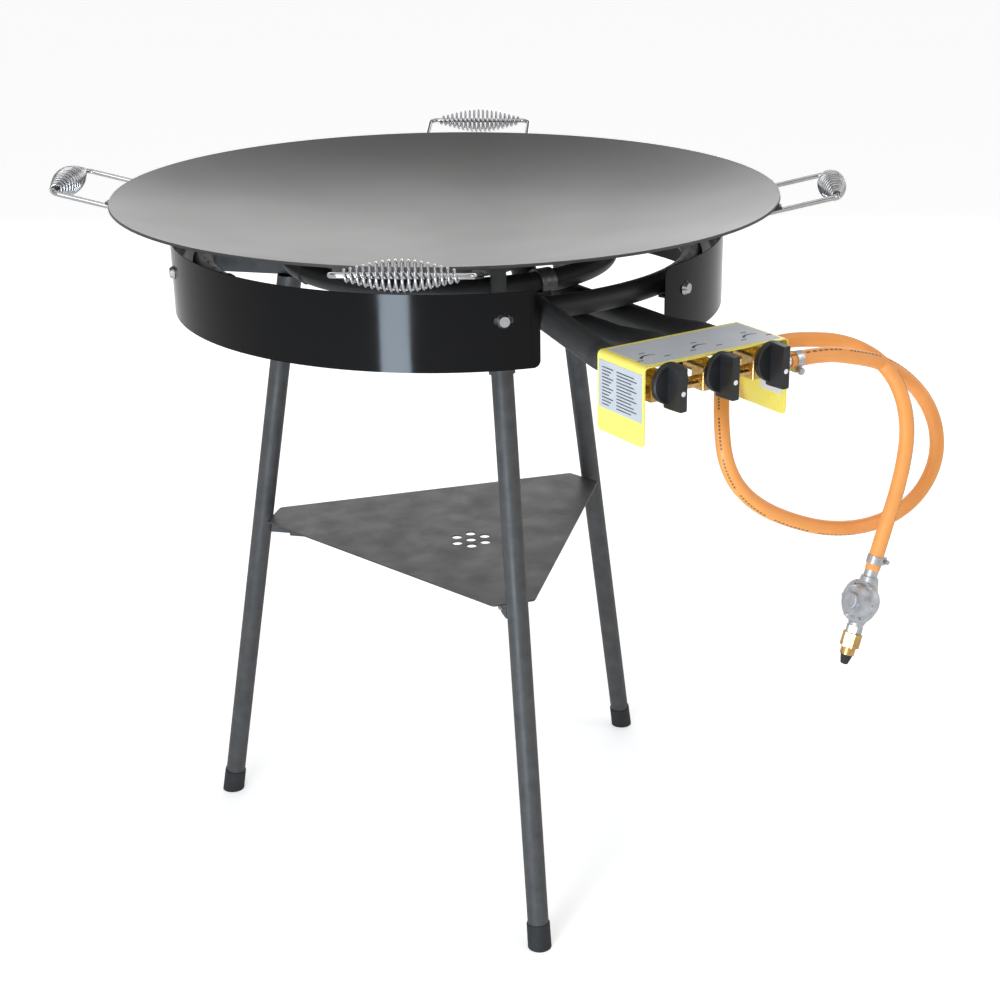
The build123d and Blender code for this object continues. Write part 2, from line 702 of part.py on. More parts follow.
valve_front = panel_front - 4.0
valve_back = panel_back + 32.0
valve_body_radius = 9.0
gland_length = 8.0
nozzle_radius = 4.5
nozzle_end = feed_start - 12.0
block_width = 18.0
block_half = 10.0
block_low = rail_height - rail_diameter / 2 - 2.5
spindle_in = 10.0
knob_back = panel_front + knob_gap
disc_thickness = 6.0
bar_proud = 18.0
grip_bar = 11.0
spindle_front = knob_back + disc_thickness + 6
knob_radius = knob_diameter / 2
bar_below = 4.0
for number, side in enumerate((-feed_spacing, 0.0, feed_spacing), start=1):
    with BuildPart() as valve:
        with BuildSketch(Plane.XZ.offset(valve_back)):
            with Locations((side, knob_height)):
                Circle(valve_body_radius)
        extrude(amount=valve_front - valve_back - gland_length)
        with BuildSketch(Plane.XZ.offset(valve_front - gland_length)):
            with Locations((side, knob_height)):
                RegularPolygon(7.5, 6, major_radius=False)
        extrude(amount=gland_length)
        with BuildSketch(Plane.XZ.offset(nozzle_end)):
            with Locations((side, knob_height)):
                Circle(nozzle_radius)
        extrude(amount=valve_back - nozzle_end + 0.5)
        with BuildSketch(Plane.XZ.offset(feed_start + 3)):
            with Locations((side, knob_height)):
                RegularPolygon(6.5, 6, major_radius=False)
        extrude(amount=valve_back - feed_start - 3)
        with BuildSketch(Plane.XY.offset(block_low)):
            with Locations((side, -rail_from_axis)):
                RectangleRounded(block_width, 2 * block_half, 2)
        extrude(amount=knob_height - block_low)
        with BuildSketch(Plane.YZ.offset(side - block_width)):
            with Locations((-rail_from_axis, rail_height)):
                Circle(rail_diameter / 2 + slip)
        extrude(amount=2 * block_width, mode=Mode.SUBTRACT)
        with BuildSketch(Plane.XZ.offset(valve_front - spindle_in - knob_push - 1)):
            with Locations((side, knob_height)):
                Circle(spindle_diameter / 2 + slip)
        extrude(amount=spindle_in + knob_push + 2, mode=Mode.SUBTRACT)
    save(valve.part, f"valve_{number}")

    with BuildPart() as spindle:
        with BuildSketch(Plane.XZ.offset(valve_front - spindle_in)):
            with Locations((side, knob_height)):
                Circle(spindle_diameter / 2)
        extrude(amount=spindle_front - valve_front + spindle_in)
    save(spindle.part, f"spindle_{number}")

    with BuildPart() as knob:
        with BuildSketch(Plane.XZ.offset(knob_back)):
            with Locations((side, knob_height)):
                Circle(knob_radius)
        extrude(amount=disc_thickness)
        chamfer(knob.edges().group_by(Axis.Y)[0], length=1.2)
        with BuildSketch(Plane.XZ.offset(knob_back + disc_thickness)):
            with Locations((side, knob_height - bar_below / 2)):
                RectangleRounded(grip_bar, knob_diameter + bar_below, 2.5)
        extrude(amount=bar_proud, taper=3)
        with BuildSketch(Plane.XZ.offset(knob_back)):
            with Locations((side, knob_height - knob_radius + 2)):
                RectangleRounded(grip_bar, 12, 2.5)
        extrude(amount=disc_thickness)
        with BuildSketch(Plane.XZ.offset(knob_back - 1)):
            with Locations((side, knob_height)):
                Circle(spindle_diameter / 2 + slip)
        extrude(amount=spindle_front - knob_back + 2, mode=Mode.SUBTRACT)
    save(knob.part, f"knob_{number}")

# ---------------------------------------------------------------- inlet fitting
flange_face = panel_half_width
washer_thickness = 1.5
washer_face = flange_face + washer_thickness
fitting_across = 17.0
fitting_end = flange_face + 20.0
with BuildPart() as sealing_washer:
    with BuildSketch(Plane.YZ.offset(flange_face + slip)):
        with Locations((-rail_from_axis, rail_height)):
            Circle(10.5)
            Circle(rail_diameter / 2 + slip, mode=Mode.SUBTRACT)
    extrude(amount=washer_thickness - slip)
save(sealing_washer.part, "sealing_washer")

with BuildPart() as inlet_fitting:
    with BuildSketch(Plane.YZ.offset(washer_face + slip)):
        with Locations((-rail_from_axis, rail_height)):
            RegularPolygon(fitting_across / 2, 6, major_radius=False)
    extrude(amount=fitting_end - washer_face - 4)
    with BuildSketch(Plane.YZ.offset(fitting_end - 4)):
        with Locations((-rail_from_axis, rail_height)):
            Circle(7.2)
    extrude(amount=4)
    with BuildSketch(Plane.YZ.offset(washer_face)):
        with Locations((-rail_from_axis, rail_height)):
            Circle(rail_diameter / 2 + slip)
    extrude(amount=rail_right - washer_face + 0.2, mode=Mode.SUBTRACT)
save(inlet_fitting.part, "inlet_fitting")

# ---------------------------------------------------------------- hose
hose_y = -rail_from_axis
hose_points = [
    (fitting_end, hose_y, rail_height),
    (158, hose_y, rail_height),
    (206, -482, 717),
    (260, -474, 699),
    (312, -474, 664),
    (338, -482, 623),
    (341, -488, 580),
    (319, -491, 544),
    (280, -491, 523),
    (232, -488, 517),
    (181, -484, 525),
    (134, -479, 543),
    (89, -475, 568),
    (59, -472, 597),
    (45, -468, 628),
    (46, -460, 659),
    (57, -445, 683),
    (72, -427, 698),
    (93, -413, 707),
    (121, -406, 713),
    (151, -404, 719),
    (179, -408, 722),
    (203, -417, 721),
    (225, -433, 720),
    (242, -452, 714),
    (256, -472, 702),
    (262, -492, 683),
    (263, -507, 659),
    (260, -517, 630),
    (251, -523, 599),
    (238, -526, 562),
    (222, -527, 524),
    (209, -527, 485),
]
clamp_gap = 7.0


def hose_radii(points):
    """Arc radius at each inner point: 0.45 of the shorter run over the tangent of half the turn."""
    stations = [Vector(*point) for point in points]
    radii = []
    for before, here, after in zip(stations, stations[1:], stations[2:]):
        run_in = here - before
        run_out = after - here
        half_turn = radians(run_in.get_angle(run_out)) / 2
        radii.append(0.45 * min(run_in.length, run_out.length) / tan(half_turn))
    return radii


bend_radii = hose_radii(hose_points)
with BuildPart() as hose:
    with BuildLine():
        route = FilletPolyline(*hose_points, radius=bend_radii)
    with BuildSketch(route ^ 0):
        Circle(hose_diameter / 2)
    sweep()
save(hose.part, "hose")
print("hose length", round(route.length, 1), "least bend radius", round(min(bend_radii), 1))
print("bend radii", [round(radius) for radius in bend_radii])

# ---------------------------------------------------------------- hose clamps
clamp_bore = hose_diameter / 2 + slip
clamp_band = 0.9
clamp_width = 9.0
hose_end = Vector(*hose_points[-1])
hose_before = Vector(*hose_points[-2])
flow = (hose_end - hose_before).normalized()
face_out = Vector(-flow.Z, 0, flow.X).normalized() * -1
clamp_planes = {
    "hose_clamp_inlet": Plane(
        (fitting_end + clamp_gap, hose_y, rail_height), x_dir=(0, 0, 1), z_dir=(1, 0, 0)
    ),
    "hose_clamp_regulator": Plane(
        hose_end - flow * (clamp_gap + clamp_width), x_dir=face_out, z_dir=flow
    ),
}
for name, clamp_plane in clamp_planes.items():
    with BuildPart() as clamp:
        with BuildSketch(clamp_plane):
            Circle(clamp_bore + clamp_band)
            with Locations((-clamp_bore - 2.2, 0)):
                Rectangle(5.5, 9)
            Circle(clamp_bore, mode=Mode.SUBTRACT)
        extrude(amount=clamp_width)
        screw_plane = Plane(
            clamp_plane.from_local_coords(Vector(-clamp_bore - 3.2, 0, clamp_width / 2)),
            x_dir=clamp_plane.z_dir,
            z_dir=clamp_plane.y_dir,
        )
        with BuildSketch(screw_plane.offset(-9)):
            Circle(2.6)
        extrude(amount=15)
        with BuildSketch(screw_plane.offset(6)):
            RegularPolygon(3.9, 6)
        extrude(amount=4)
        with BuildSketch(clamp_plane.offset(-1)):
            Circle(clamp_bore)
        extrude(amount=clamp_width + 2, mode=Mode.SUBTRACT)
    save(clamp.part, name)

# ---------------------------------------------------------------- regulator
body_length = 73.0
chamber_at = 37.0
chamber_radius = 24.0
chamber_face = 5.0
nut_start = body_length + 0.3
nut_length = 25.0
thread_length = 9.0
spigot_radius = 4.5
nose_length = 11.0
flow_plane = Plane(hose_end, x_dir=face_out, z_dir=flow)


def flow_station(distance, side=0.0):
    """Plane square to the flow at a distance from the hose's end."""
    return Plane(
        flow_plane.from_local_coords(Vector(side, 0, distance)), x_dir=face_out, z_dir=flow
    )


chamber_plane = Plane(
    flow_plane.from_local_coords(Vector(0, 0, chamber_at)), x_dir=flow, z_dir=face_out
)
with BuildPart() as regulator_body:
    with BuildSketch(flow_station(slip)):
        Circle(7.6)
    extrude(amount=10)
    with BuildSketch(flow_station(8)):
        Circle(9.5)
    with BuildSketch(flow_station(24, -1.5)):
        Circle(12.5)
    loft()
    with BuildSketch(flow_station(23.9, -1.5)):
        Circle(12.5)
    with BuildSketch(flow_station(55, -1)):
        Circle(11)
    loft()
    with BuildSketch(flow_station(54.9, -1)):
        Circle(11)
    with BuildSketch(flow_station(body_length - 8)):
        Circle(8)
    loft()
    with BuildSketch(flow_station(body_length - 8.1)):
        RegularPolygon(9.2, 6)
    extrude(amount=8.1)
    with BuildSketch(flow_station(body_length - 0.1)):
        Circle(spigot_radius)
    extrude(amount=nut_length + 5)
    with BuildSketch(chamber_plane.offset(chamber_face)):
        Circle(chamber_radius)
    extrude(amount=-4)
    with BuildSketch(chamber_plane.offset(chamber_face - 4)):
        Circle(chamber_radius - 2)
    extrude(amount=-9, taper=24)
    with BuildSketch(chamber_plane.offset(chamber_face)):
        Circle(chamber_radius + clearance)
    extrude(amount=2 * chamber_radius, mode=Mode.SUBTRACT)
save(regulator_body.part, "regulator_body")

with BuildPart() as regulator_cover:
    with BuildSketch(chamber_plane.offset(chamber_face + slip)):
        Circle(chamber_radius)
    extrude(amount=3)
    with BuildSketch(chamber_plane.offset(chamber_face + 3)):
        Circle(chamber_radius - 4)
    extrude(amount=8, taper=28)
    with BuildSketch(chamber_plane.offset(chamber_face + 11)):
        Circle(9)
    extrude(amount=4)
    fillet(regulator_cover.edges().filter_by(GeomType.CIRCLE).sort_by(Axis(hose_end, face_out))[-1], 1.2)
save(regulator_cover.part, "regulator_cover")

with BuildPart() as regulator_screws:
    with BuildSketch(chamber_plane.offset(chamber_face + 3 + 2 * slip)):
        with PolarLocations(chamber_radius - 2.2, 6, start_angle=30):
            Circle(1.9)
    extrude(amount=1.6)
save(regulator_screws.part, "regulator_screws")

nut_bore = spigot_radius + slip
with BuildPart() as cylinder_nut:
    with BuildSketch(flow_station(nut_start)):
        RegularPolygon(11.0, 6)
    extrude(amount=nut_length - thread_length)
    with BuildSketch(flow_station(nut_start + nut_length - thread_length)):
        Circle(8.0)
    extrude(amount=thread_length)
    with BuildSketch(flow_station(nut_start - 1)):
        Circle(nut_bore)
    extrude(amount=nut_length + 2, mode=Mode.SUBTRACT)
save(cylinder_nut.part, "cylinder_nut")

with BuildPart() as nose_seal:
    with BuildSketch(flow_station(nut_start + nut_length + 0.3)):
        Circle(6.8)
    with BuildSketch(flow_station(nut_start + nut_length + 0.3 + nose_length)):
        Circle(4.0)
    loft()
    with BuildSketch(flow_station(nut_start + nut_length)):
        Circle(spigot_radius + slip)
    extrude(amount=body_length + 5 - nut_start + 0.2, mode=Mode.SUBTRACT)
    fillet(nose_seal.edges().filter_by(GeomType.CIRCLE).sort_by(Axis(hose_end, flow))[-1], 1.5)
save(nose_seal.part, "nose_seal")
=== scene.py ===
from math import cos, pi, radians, sin

import bmesh
import bpy
from mathutils import Matrix, Vector


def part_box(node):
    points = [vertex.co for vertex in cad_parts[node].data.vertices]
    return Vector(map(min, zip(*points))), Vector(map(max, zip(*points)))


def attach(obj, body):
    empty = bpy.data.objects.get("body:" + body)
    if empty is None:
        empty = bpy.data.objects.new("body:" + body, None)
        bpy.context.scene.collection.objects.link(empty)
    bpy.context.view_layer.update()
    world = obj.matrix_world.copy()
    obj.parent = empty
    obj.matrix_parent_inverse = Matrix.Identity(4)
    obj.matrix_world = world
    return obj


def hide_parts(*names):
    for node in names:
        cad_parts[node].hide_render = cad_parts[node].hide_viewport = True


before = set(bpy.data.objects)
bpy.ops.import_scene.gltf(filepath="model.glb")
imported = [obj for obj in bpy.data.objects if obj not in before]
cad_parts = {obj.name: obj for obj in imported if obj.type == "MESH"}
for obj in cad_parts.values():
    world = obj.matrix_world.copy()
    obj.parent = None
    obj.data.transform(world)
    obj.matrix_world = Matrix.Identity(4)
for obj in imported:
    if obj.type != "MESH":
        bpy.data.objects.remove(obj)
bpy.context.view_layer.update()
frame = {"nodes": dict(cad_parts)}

bl_info = {
    "name": "Propane burner stand",
    "version": (1, 0, 0),
    "blender": (4, 5, 0),
    "location": "View3D > Sidebar > Burner",
    "description": "Finishes, coil grips, hose, labels and studio for a three-ring burner stand",
    "category": "Object",
}

NODES = frame["nodes"]
MM = 0.001

HANDLES = {1: -127.0, 2: -37.0, 3: 53.0, 4: 143.0}      # number: azimuth in degrees
KNOBS = (1, 2, 3)
LEGS = ("front", "right", "rear")

HOSE_STEPS = 12             # curve steps between two points of the route
HOSE_ROUND = 7              # bevel steps round the hose
DASH_SHARE = 0.62           # inked part of each dash and its gap
DASHES_PER_WORD = 11.0
WORD_SHARE = 0.8            # inked part of each run of dashes
PRINT_SIDE = 0.29           # place of the print round the hose, 0 to 1
PRINT_HALF_WIDTH = 0.02
INK_COVER = 0.8

PANEL_SHEET = 0.0015        # thickness of the control panel
KNOB_DOT_RADIUS = 0.0026
KNOB_DOT_HEIGHT = 0.42      # share of the knob's height
KNOB_DOT_SIDES = 28
RULE_ROWS = 12              # rows of rules on the side label
RULE_THICKNESS = 0.0011
WELD_STEPS = 36

FLOOR_HALF = 12.0
FLOOR_GLOW = 0.42           # extra white of the floor, for the camera only
AIM = (0, 0, 0.6)           # where the softboxes point

# The hose's route from the inlet fitting to the regulator, in millimetres.
HOSE_ROUTE = (
    (111.5, -485, 729), (158, -485, 729), (206, -482, 717), (260, -474, 699), (312, -474, 664),
    (338, -482, 623), (341, -488, 580), (319, -491, 544), (280, -491, 523), (232, -488, 517),
    (181, -484, 525), (134, -479, 543), (89, -475, 568), (59, -472, 597), (45, -468, 628),
    (46, -460, 659), (57, -445, 683), (72, -427, 698), (93, -413, 707), (121, -406, 713),
    (151, -404, 719), (179, -408, 722), (203, -417, 721), (225, -433, 720), (242, -452, 714),
    (256, -472, 702), (262, -492, 683), (263, -507, 659), (260, -517, 630), (251, -523, 599),
    (238, -526, 562), (222, -527, 524), (209, -527, 485),
)


# ---------------------------------------------------------------- settings
class BurnerGripSettings(bpy.types.PropertyGroup):
    """Sizes of the wound coil grips."""

    turns: bpy.props.FloatProperty(name="Turns", description="Turns of the coil", default=18.0)
    wire: bpy.props.FloatProperty(
        name="Wire", description="Thickness of the coil's wire", default=0.0029, unit="LENGTH"
    )
    length: bpy.props.FloatProperty(
        name="Length", description="Length of the coil", default=0.1112, unit="LENGTH"
    )
    end_size: bpy.props.FloatProperty(
        name="End", description="Outer diameter at the ends", default=0.013, unit="LENGTH"
    )
    belly_size: bpy.props.FloatProperty(
        name="Belly", description="Outer diameter at the middle", default=0.033, unit="LENGTH"
    )


class BurnerHoseSettings(bpy.types.PropertyGroup):
    """Sizes and print of the gas hose."""

    diameter: bpy.props.FloatProperty(
        name="Diameter", description="Outer diameter of the hose", default=0.0165, unit="LENGTH"
    )
    length: bpy.props.FloatProperty(
        name="Length", description="Length of the hose", default=1.22, unit="LENGTH"
    )
    dashes: bpy.props.IntProperty(name="Dashes", description="Printed dashes", default=270)


class BurnerFinishSettings(bpy.types.PropertyGroup):
    """Colours of the finishes, linear."""

    pan: bpy.props.FloatVectorProperty(
        name="Pan", description="Oiled pan steel", default=(0.064, 0.0625, 0.06), subtype="COLOR"
    )
    frame: bpy.props.FloatVectorProperty(
        name="Frame", description="Powder coat", default=(0.026, 0.0258, 0.0257), subtype="COLOR"
    )
    enamel: bpy.props.FloatVectorProperty(
        name="Shield", description="Gloss enamel", default=(0.004, 0.004, 0.0045), subtype="COLOR"
    )
    yellow: bpy.props.FloatVectorProperty(
        name="Panel", description="Panel paint", default=(1.0, 0.86, 0.16), subtype="COLOR"
    )
    orange: bpy.props.FloatVectorProperty(
        name="Hose", description="Hose rubber", default=(1.0, 0.4, 0.1), subtype="COLOR"
    )
    silver: bpy.props.FloatVectorProperty(
        name="Labels", description="Label foil", default=(0.6, 0.63, 0.67), subtype="COLOR"
    )
    ink: bpy.props.FloatVectorProperty(
        name="Ink", description="Printed ink", default=(0.03, 0.03, 0.035), subtype="COLOR"
    )


class BurnerStageSettings(bpy.types.PropertyGroup):
    """Camera and light."""

    lens: bpy.props.FloatProperty(name="Lens", description="Focal length, mm", default=65.55)
    shift: bpy.props.FloatProperty(name="Shift", description="Sideways shift", default=-0.086)
    world_light: bpy.props.FloatProperty(
        name="World", description="Strength of the even light", default=1.0
    )
    key_light: bpy.props.FloatProperty(
        name="Key", description="Power of the main softbox", default=26.0, unit="POWER"
    )


def settings(name):
    return getattr(bpy.context.scene, name)


# ---------------------------------------------------------------- shader groups
def new_group(name, inputs, outputs):
    """An empty shader group with (name, kind, default) inputs and (name, kind) outputs."""
    tree = bpy.data.node_groups.new(name, "ShaderNodeTree")
    for socket_name, kind, default in inputs:
        socket = tree.interface.new_socket(socket_name, in_out="INPUT", socket_type=kind)
        socket.default_value = default
    for socket_name, kind in outputs:
        tree.interface.new_socket(socket_name, in_out="OUTPUT", socket_type=kind)
    return tree, tree.nodes.new("NodeGroupInput"), tree.nodes.new("NodeGroupOutput")


def noise(tree, vector, scale, detail=3.0):
    node = tree.nodes.new("ShaderNodeTexNoise")
    node.inputs["Detail"].default_value = detail
    tree.links.new(vector, node.inputs["Vector"])
    if isinstance(scale, (int, float)):
        node.inputs["Scale"].default_value = scale
    else:
        tree.links.new(scale, node.inputs["Scale"])
    return node.outputs["Fac"]


def math_node(tree, operation, first, second, clamp=False):
    node = tree.nodes.new("ShaderNodeMath")
    node.operation = operation
    node.use_clamp = clamp
    for socket, value in zip(node.inputs, (first, second)):
        if isinstance(value, (int, float)):
            socket.default_value = value
        else:
            tree.links.new(value, socket)
    return node.outputs[0]


def mix_colour(tree, factor, first, second):
    node = tree.nodes.new("ShaderNodeMix")
    node.data_type = "RGBA"
    pairs = ((node.inputs[0], factor), (node.inputs[6], first), (node.inputs[7], second))
    for socket, value in pairs:
        if isinstance(value, bpy.types.NodeSocket):
            tree.links.new(value, socket)
        else:
            socket.default_value = value
    return node.outputs[2]


def spread(tree, value, low, high, to_low, to_high):
    node = tree.nodes.new("ShaderNodeMapRange")
    node.inputs["From Min"].default_value = low
    node.inputs["From Max"].default_value = high
    for name, target in (("To Min", to_low), ("To Max", to_high)):
        if isinstance(target, (int, float)):
            node.inputs[name].default_value = target
        else:
            tree.links.new(target, node.inputs[name])
    tree.links.new(value, node.inputs["Value"])
    return node.outputs["Result"]


def make_mottle_group():
    """Patches of tone, uneven gloss and a fine grain, all in object space."""
    tree, enter, leave = new_group(
        "Mottle and grain",
        (
            ("Color", "NodeSocketColor", (0.5, 0.5, 0.5, 1)),
            ("Second color", "NodeSocketColor", (0.4, 0.4, 0.4, 1)),
            ("Patch scale", "NodeSocketFloat", 12.0),
            ("Grain scale", "NodeSocketFloat", 900.0),
            ("Roughness low", "NodeSocketFloat", 0.3),
            ("Roughness high", "NodeSocketFloat", 0.5),
        ),
        (
            ("Color", "NodeSocketColor"),
            ("Roughness", "NodeSocketFloat"),
            ("Height", "NodeSocketFloat"),
        ),
    )
    place = tree.nodes.new("ShaderNodeTexCoord").outputs["Object"]
    patches = noise(tree, place, enter.outputs["Patch scale"], 4.0)
    grain = noise(tree, place, enter.outputs["Grain scale"], 2.0)
    factor = spread(tree, patches, 0.35, 0.65, 0.0, 1.0)
    colour = mix_colour(tree, factor, enter.outputs["Color"], enter.outputs["Second color"])
    rough = spread(
        tree, patches, 0.3, 0.7, enter.outputs["Roughness low"], enter.outputs["Roughness high"]
    )
    tree.links.new(colour, leave.inputs["Color"])
    tree.links.new(rough, leave.inputs["Roughness"])
    tree.links.new(grain, leave.inputs["Height"])
    return tree


def make_edge_group():
    """A mask of the outer edges, broken up by noise, where a coat wears thin."""
    tree, enter, leave = new_group(
        "Edge wear",
        (("Amount", "NodeSocketFloat", 0.5), ("Scale", "NodeSocketFloat", 60.0)),
        (("Mask", "NodeSocketFloat"),),
    )
    geometry = tree.nodes.new("ShaderNodeNewGeometry")
    place = tree.nodes.new("ShaderNodeTexCoord").outputs["Object"]
    edges = spread(tree, geometry.outputs["Pointiness"], 0.53, 0.6, 0.0, 1.0)
    broken = math_node(tree, "MULTIPLY", edges, noise(tree, place, enter.outputs["Scale"], 5.0))
    mask = math_node(tree, "MULTIPLY", broken, enter.outputs["Amount"], clamp=True)
    tree.links.new(mask, leave.inputs["Mask"])
    return tree


GROUPS = {}


def group_node(tree, name, **values):
    if not GROUPS:
        GROUPS["mottle"] = make_mottle_group()
        GROUPS["edges"] = make_edge_group()
    node = tree.nodes.new("ShaderNodeGroup")
    node.node_tree = GROUPS[name]
    for key, value in values.items():
        node.inputs[key.replace("_", " ")].default_value = value
    return node


# ---------------------------------------------------------------- materials
def rgba(colour, factor=1.0):
    return tuple(min(1.0, c * factor) for c in colour) + (1.0,)


def surface(
    name, colour, second=None, metallic=0.0, rough=(0.3, 0.5), patch=12.0, grain=900.0,
    bump=0.02, bump_depth=0.0002, coat=0.0, coat_rough=0.1, wear=0.0, worn=(0.3, 0.3, 0.3),
    specular=0.5,
):
    """A finish with patches of tone and gloss, a fine grain and, where asked, worn edges."""
    material = bpy.data.materials.new(name)
    material.use_nodes = True
    tree = material.node_tree
    shader = tree.nodes["Principled BSDF"]
    mottle = group_node(
        tree, "mottle", Color=rgba(colour),
        Second_color=rgba(second or colour, 1.0 if second else 0.82), Patch_scale=patch,
        Grain_scale=grain, Roughness_low=rough[0], Roughness_high=rough[1],
    )
    base = mottle.outputs["Color"]
    if wear:
        edges = group_node(tree, "edges", Amount=wear)
        base = mix_colour(tree, edges.outputs["Mask"], base, rgba(worn))
    tree.links.new(base, shader.inputs["Base Color"])
    tree.links.new(mottle.outputs["Roughness"], shader.inputs["Roughness"])
    relief = tree.nodes.new("ShaderNodeBump")
    relief.inputs["Strength"].default_value = bump
    relief.inputs["Distance"].default_value = bump_depth
    tree.links.new(mottle.outputs["Height"], relief.inputs["Height"])
    tree.links.new(relief.outputs["Normal"], shader.inputs["Normal"])
    shader.inputs["Metallic"].default_value = metallic
    shader.inputs["Specular IOR Level"].default_value = specular
    shader.inputs["Coat Weight"].default_value = coat
    shader.inputs["Coat Roughness"].default_value = coat_rough
    return material, shader


MADE = {}


def finish(name):
    """The material of that finish, made once."""
    if name in MADE:
        return MADE[name]
    colours = settings("burner_finish")
    recipes = {
        "powder coat": dict(
            colour=colours.frame, second=rgba(colours.frame, 1.14)[:3], rough=(0.42, 0.55),
            patch=25.0, grain=1400.0, bump=0.35, bump_depth=0.0002, wear=0.35, worn=(0.2, 0.2, 0.2),
        ),
        "gloss enamel": dict(
            colour=colours.enamel, rough=(0.07, 0.13), patch=9.0, grain=26.0, bump=0.1,
            bump_depth=0.0008, specular=0.2,
        ),
        "panel paint": dict(
            colour=colours.yellow, second=rgba(colours.yellow, 0.96)[:3], rough=(0.22, 0.3),
            grain=1500.0, bump=0.08, coat=0.3, coat_rough=0.08,
        ),
        "zinc plate": dict(
            colour=(0.62, 0.62, 0.63), second=(0.5, 0.5, 0.52), metallic=1.0, rough=(0.22, 0.38),
            patch=300.0, grain=2500.0, bump=0.2, bump_depth=0.00005,
        ),
        "galvanized strap": dict(
            colour=(0.38, 0.38, 0.38), second=(0.24, 0.24, 0.25), metallic=0.9, rough=(0.35, 0.55),
            patch=180.0, grain=1200.0, bump=0.3, bump_depth=0.0001,
        ),
        "polished chrome": dict(
            colour=(0.56, 0.56, 0.57), second=(0.5, 0.5, 0.51), metallic=1.0, rough=(0.06, 0.12),
            patch=80.0, grain=400.0, bump=0.04, bump_depth=0.00005,
        ),
        "machined brass": dict(
            colour=(0.75, 0.47, 0.17), second=(0.55, 0.33, 0.12), metallic=1.0, rough=(0.22, 0.36),
            patch=120.0, grain=1800.0, bump=0.2, bump_depth=0.00006, wear=0.4,
            worn=(0.9, 0.7, 0.35),
        ),
        "copper": dict(
            colour=(0.75, 0.3, 0.15), metallic=1.0, rough=(0.25, 0.35), grain=1500.0, bump=0.1,
        ),
        "knob plastic": dict(
            colour=(0.012, 0.012, 0.013), second=(0.016, 0.016, 0.018), rough=(0.3, 0.4),
            patch=60.0, grain=1800.0, bump=0.25, bump_depth=0.0001, wear=0.12,
            worn=(0.08, 0.08, 0.08),
        ),
        "foot rubber": dict(
            colour=(0.022, 0.022, 0.024), second=(0.034, 0.034, 0.036), rough=(0.55, 0.75),
            patch=40.0, grain=1100.0, bump=0.4, bump_depth=0.0002, specular=0.3,
        ),
        "label foil": dict(
            colour=colours.silver, second=rgba(colours.silver, 0.93)[:3], metallic=0.15,
            rough=(0.32, 0.42), patch=30.0, grain=1600.0, bump=0.05,
        ),
        "printed ink": dict(colour=colours.ink, rough=(0.4, 0.5), bump=0.02),
        "white paint": dict(colour=(0.85, 0.85, 0.83), rough=(0.35, 0.45), bump=0.05),
        "cast alloy": dict(
            colour=(0.62, 0.62, 0.63), second=(0.48, 0.48, 0.5), metallic=0.85, rough=(0.34, 0.5),
            patch=90.0, grain=750.0, bump=0.45, bump_depth=0.00035, wear=0.4, worn=(0.8, 0.8, 0.8),
        ),
        "weld": dict(
            colour=(0.045, 0.045, 0.047), rough=(0.4, 0.6), patch=200.0, grain=900.0, bump=0.5,
            bump_depth=0.0003,
        ),
    }
    MADE[name] = surface(name, **recipes[name])[0]
    return MADE[name]


def coat_nodes(material, *names):
    """Gives CAD nodes that finish."""
    for name in names:
        node = NODES[name]
        if not node.material_slots:
            node.data.materials.append(material)
        for slot in node.material_slots:
            slot.material = material


def pan_material():
    """Oiled pan steel: slow patches of tone and faint rings round the dish."""
    colours = settings("burner_finish")
    material, shader = surface(
        "Oiled pan steel", colours.pan, second=rgba(colours.pan, 0.9)[:3], metallic=0.6,
        rough=(0.32, 0.42), patch=2.2, grain=1500.0, bump=0.25, bump_depth=0.00012,
    )
    tree = material.node_tree
    place = tree.nodes.new("ShaderNodeTexCoord").outputs["Object"]
    rings = tree.nodes.new("ShaderNodeTexWave")
    rings.wave_type = "RINGS"
    rings.rings_direction = "Z"
    rings.inputs["Scale"].default_value = 34.0
    rings.inputs["Distortion"].default_value = 1.2
    tree.links.new(place, rings.inputs["Vector"])
    old = shader.inputs["Base Color"].links[0].from_socket
    faint = math_node(tree, "MULTIPLY", rings.outputs["Fac"], 0.025)
    tree.links.new(
        mix_colour(tree, faint, old, rgba(colours.pan, 1.9)), shader.inputs["Base Color"]
    )
    return material


def hose_material():
    """Orange rubber with a broken printed line along one side; U runs along the hose."""
    colours = settings("burner_finish")
    sizes = settings("burner_hose")
    material, shader = surface(
        "Hose rubber", colours.orange, second=rgba(colours.orange, 0.93)[:3], rough=(0.32, 0.42),
        patch=25.0, grain=900.0, bump=0.12, specular=0.45,
    )
    tree = material.node_tree
    split = tree.nodes.new("ShaderNodeSeparateXYZ")
    tree.links.new(tree.nodes.new("ShaderNodeTexCoord").outputs["UV"], split.inputs[0])
    count = math_node(tree, "MULTIPLY", split.outputs[0], sizes.dashes)
    along = math_node(tree, "FRACT", count, 0.0)
    words = math_node(tree, "MULTIPLY", split.outputs[0], sizes.dashes / DASHES_PER_WORD)
    group = math_node(tree, "FRACT", words, 0.0)
    offset = math_node(tree, "SUBTRACT", split.outputs[1], PRINT_SIDE)
    beside = math_node(tree, "ABSOLUTE", offset, 0.0)
    mark = math_node(tree, "LESS_THAN", along, DASH_SHARE)
    for value, limit in ((group, WORD_SHARE), (beside, PRINT_HALF_WIDTH)):
        mark = math_node(tree, "MULTIPLY", mark, math_node(tree, "LESS_THAN", value, limit))
    mark = math_node(tree, "MULTIPLY", mark, INK_COVER)
    old = shader.inputs["Base Color"].links[0].from_socket
    tree.links.new(mix_colour(tree, mark, old, rgba(colours.ink)), shader.inputs["Base Color"])
    return material


